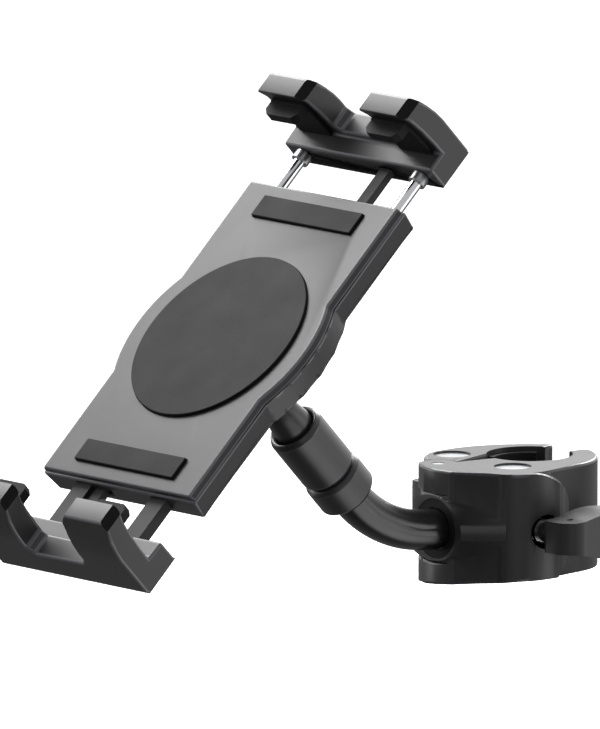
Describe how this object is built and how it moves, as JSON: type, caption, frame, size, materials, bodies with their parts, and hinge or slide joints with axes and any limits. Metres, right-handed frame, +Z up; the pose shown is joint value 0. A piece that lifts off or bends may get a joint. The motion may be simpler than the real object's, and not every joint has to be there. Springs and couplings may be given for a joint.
{
  "type": "phone handlebar mount",
  "caption": "Handlebar phone mount: sprung-jaw cradle with geared sliding hooks on a ball joint, a bent arm and a hinged clamp closed by a lever bolt.",
  "frame": {"origin": "on the handlebar's axis at half the clamp's height", "axes": "+Z up along the handlebar, +X towards the lever's side, -Y towards the rider"},
  "size_m": [0.084, 0.2175, 0.1529],
  "materials": {
    "satin_black": "satin",
    "case_plastic": "satin",
    "rubber": "matte",
    "gear_plastic": "matte",
    "steel": "polished",
    "screw_steel": "satin",
    "collar_metal": "satin"
  },
  "bodies": {
    "clamp": {"fixed_jaw": "satin_black", "fixed_jaw_pad": "rubber", "hinge_pin": "steel", "arm_grub_screw": "screw_steel", "boss_ring": "rubber"},
    "swing": {"swing_jaw": "satin_black", "swing_jaw_pad": "rubber"},
    "pivot": {"pivot_barrel": "steel", "thrust_washer": "steel"},
    "lever": {"clamp_bolt": "steel", "clamp_lever": "satin_black", "lever_pin": "screw_steel"},
    "thread": {"thread_barrel": "steel"},
    "arm": {"arm_tube": "satin_black", "arm_collar": "satin_black"},
    "sleeve": {"lock_sleeve": "satin_black"},
    "post": {"ball_post": "satin_black", "friction_washer": "rubber"},
    "nut": {"ball_nut": "case_plastic"},
    "cradle": {"ball_liner": "gear_plastic", "socket_cup": "case_plastic", "socket_screws": "screw_steel", "rear_shell": "case_plastic", "front_cover": "case_plastic", "cover_screws": "screw_steel", "front_pads": "rubber"},
    "gear": {"pinion": "gear_plastic", "wind_spring": "screw_steel"},
    "top": {"top_jaw": "case_plastic", "top_rods": "steel", "rod_collars": "collar_metal", "top_rack": "gear_plastic", "top_hook_pads": "rubber", "top_rack_screws": "screw_steel"},
    "bottom": {"bottom_jaw": "case_plastic", "bottom_rack": "gear_plastic", "bottom_tongue": "gear_plastic", "bottom_hook_pads": "rubber", "bottom_rack_screws": "screw_steel"}
  },
  "joints": [
    {"name": "jaw_swing", "type": "hinge", "parent": "clamp", "child": "swing", "pos_m": [-0.0054, -0.031, 0], "axis": [0, 0, 1], "range_deg": [-4, 18]},
    {"name": "pivot_turn", "type": "hinge", "parent": "clamp", "child": "pivot", "pos_m": [0.0125, -0.0176, 0], "axis": [0, 0, 1], "range_deg": [-2, 7]},
    {"name": "thread_turn", "type": "hinge", "parent": "swing", "child": "thread", "pos_m": [-0.0145, -0.0176, 0], "axis": [0, 0, 1], "range_deg": [-13, 4]},
    {"name": "lever_spin", "type": "hinge", "parent": "pivot", "child": "lever", "pos_m": [0.02, -0.0176, 0], "axis": [1, 0, 0], "continuous": true},
    {"name": "arm_swivel", "type": "hinge", "parent": "clamp", "child": "arm", "pos_m": [0.002, -0.0386, 0], "axis": [0, 1, 0], "range_deg": [-90, 90]},
    {"name": "sleeve_spin", "type": "hinge", "parent": "arm", "child": "sleeve", "pos_m": [0.002, -0.08724, 0.02996], "axis": [0, -0.6884, 0.7254], "continuous": true},
    {"name": "post_swivel", "type": "hinge", "parent": "arm", "child": "post", "pos_m": [0.002, -0.09412, 0.03721], "axis": [0, -0.6884, 0.7254], "continuous": true},
    {"name": "ball_tilt", "type": "hinge", "parent": "post", "child": "nut", "pos_m": [0.002, -0.10734, 0.05114], "axis": [1, 0, 0], "range_deg": [-22, 22]},
    {"name": "cradle_spin", "type": "hinge", "parent": "nut", "child": "cradle", "pos_m": [0.002, -0.10734, 0.05114], "axis": [0, -0.6884, 0.7254], "continuous": true},
    {"name": "top_slide", "type": "slide", "parent": "cradle", "child": "top", "axis": [0, 0.7254, 0.6884], "range_m": [-0.012, 0.01]},
    {"name": "bottom_slide", "type": "slide", "parent": "cradle", "child": "bottom", "axis": [0, -0.7254, -0.6884], "range_m": [-0.0121, 0.0101]},
    {"name": "gear_turn", "type": "hinge", "parent": "cradle", "child": "gear", "pos_m": [0.002, -0.11718, 0.06151], "axis": [0, -0.6884, 0.7254], "range_deg": [-108, 92]}
  ],
  "couplings": [
    {"joint": "pivot_turn", "follows": "jaw_swing", "ratio": 0.352},
    {"joint": "thread_turn", "follows": "jaw_swing", "ratio": -0.648},
    {"joint": "bottom_slide", "follows": "top_slide", "ratio": 1},
    {"joint": "gear_turn", "follows": "top_slide", "rad_per_m": 142.86}
  ]
}
